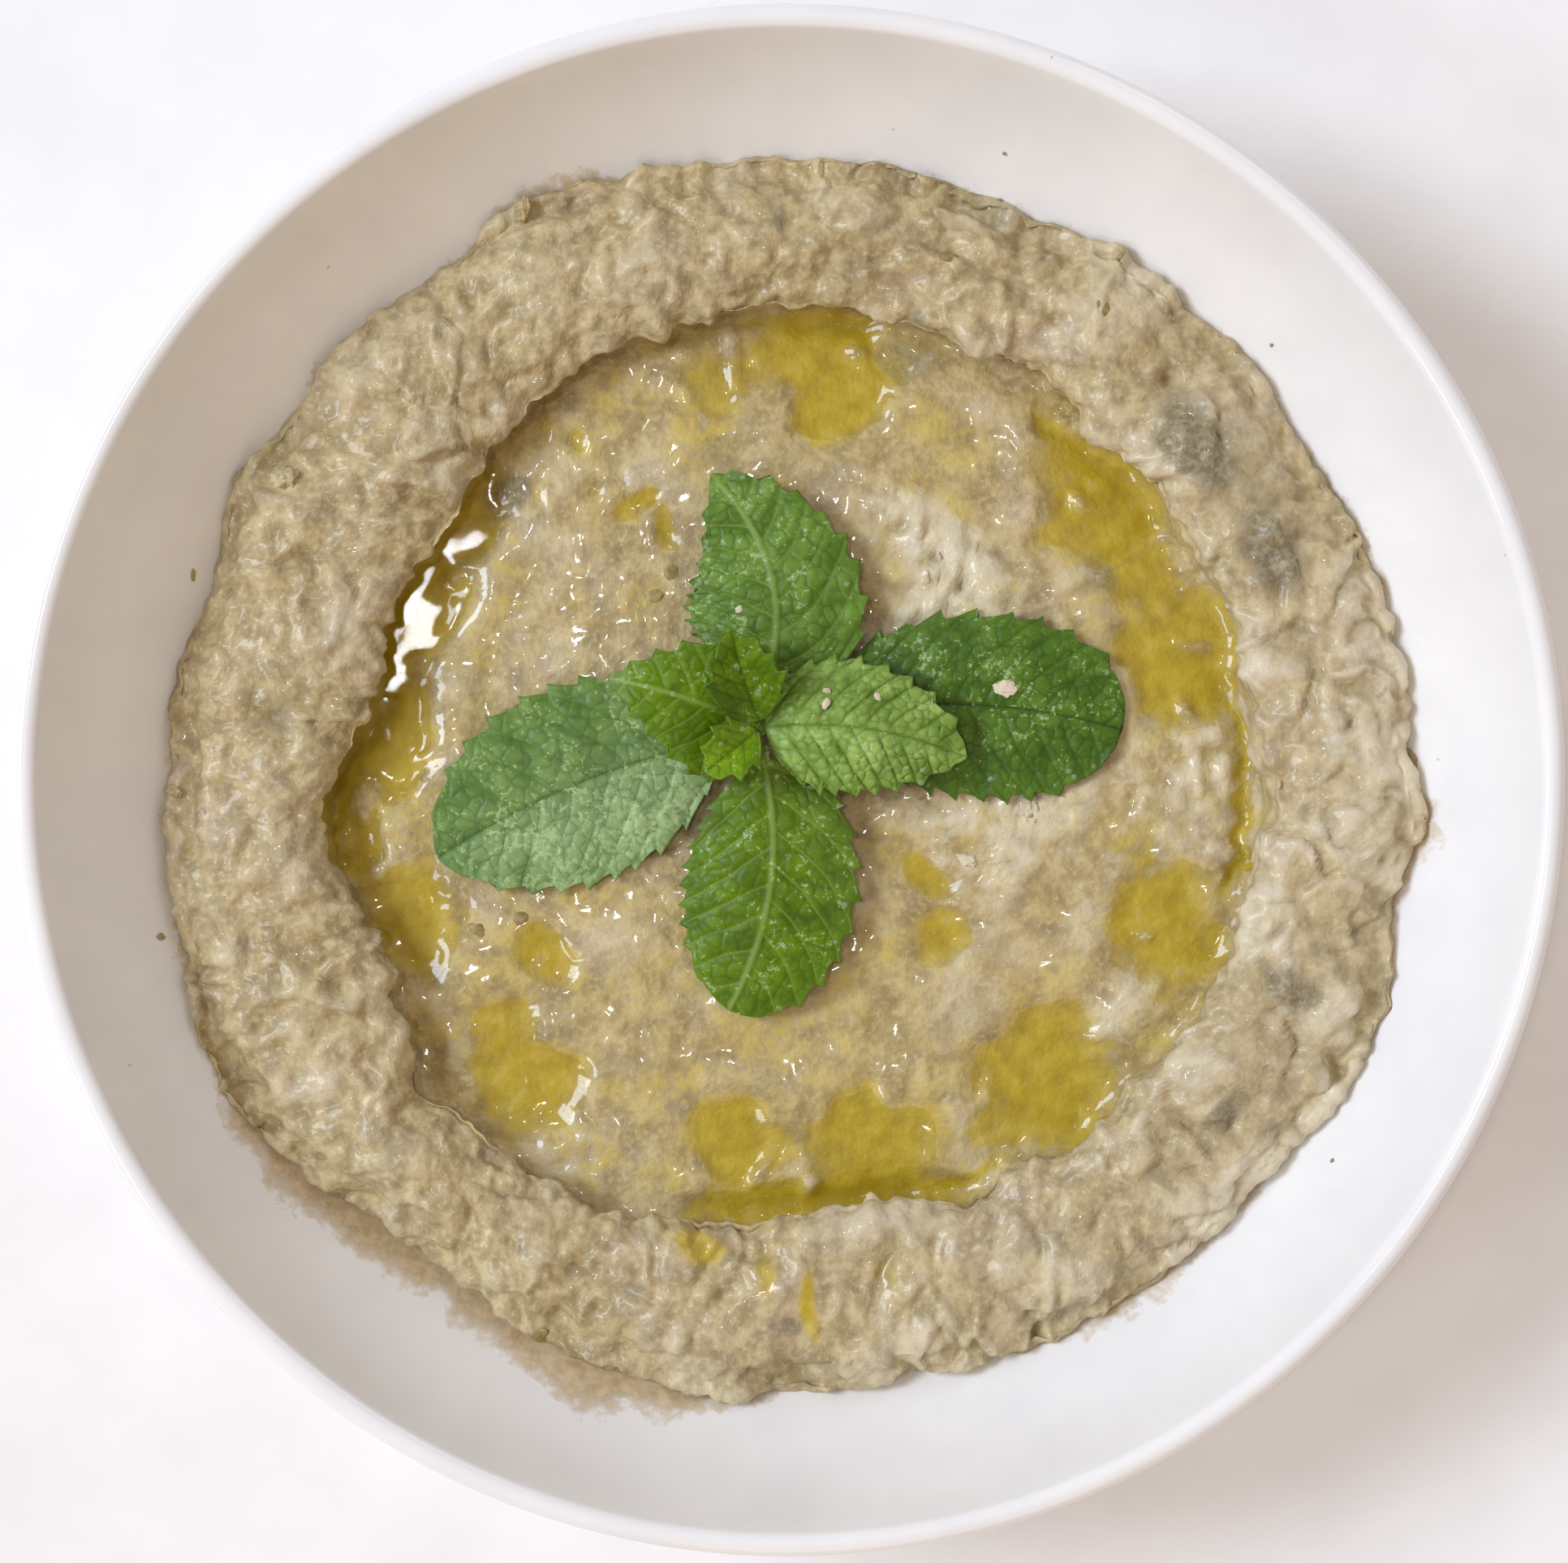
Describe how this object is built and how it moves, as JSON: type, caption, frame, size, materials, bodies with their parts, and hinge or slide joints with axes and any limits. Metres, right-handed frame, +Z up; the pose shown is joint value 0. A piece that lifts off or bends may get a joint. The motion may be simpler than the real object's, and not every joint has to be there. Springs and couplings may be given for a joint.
{
  "type": "bowl of baba ganoush",
  "caption": "Shallow round coupe bowl of baba ganoush: a lumpy ring of dip round a spooned well that holds pools of olive oil, under a sprig of mint leaves.",
  "frame": {"origin": "centre of the bowl's foot, in the plane of the table", "axes": "+Z up out of the bowl; +Y towards the tip of the sprig's top leaf, away from the diner; +X to the diner's right"},
  "size_m": [0.2, 0.2, 0.046],
  "materials": {
    "porcelain": "gloss",
    "dip": "satin",
    "olive_oil": "gloss",
    "mint": "satin",
    "young_mint": "satin"
  },
  "bodies": {
    "root": {"bowl": "porcelain", "baba_ganoush": "dip", "oil_pool_east": "olive_oil", "oil_pool_north_east": "olive_oil", "oil_pool_north": "olive_oil", "oil_pool_north_west": "olive_oil", "oil_pool_west": "olive_oil", "oil_pool_south_west": "olive_oil", "oil_pool_south_south_west": "olive_oil", "oil_pool_south": "olive_oil", "oil_pool_south_east": "olive_oil", "oil_pool_east_south_east": "olive_oil", "mint_leaf_left": "mint", "mint_leaf_right": "mint", "mint_leaf_top": "mint", "mint_leaf_bottom": "mint", "mint_young_right": "young_mint", "mint_young_left": "young_mint", "mint_bud_top": "young_mint", "mint_bud_bottom": "young_mint", "mint_stem": "young_mint"}
  },
  "joints": []
}
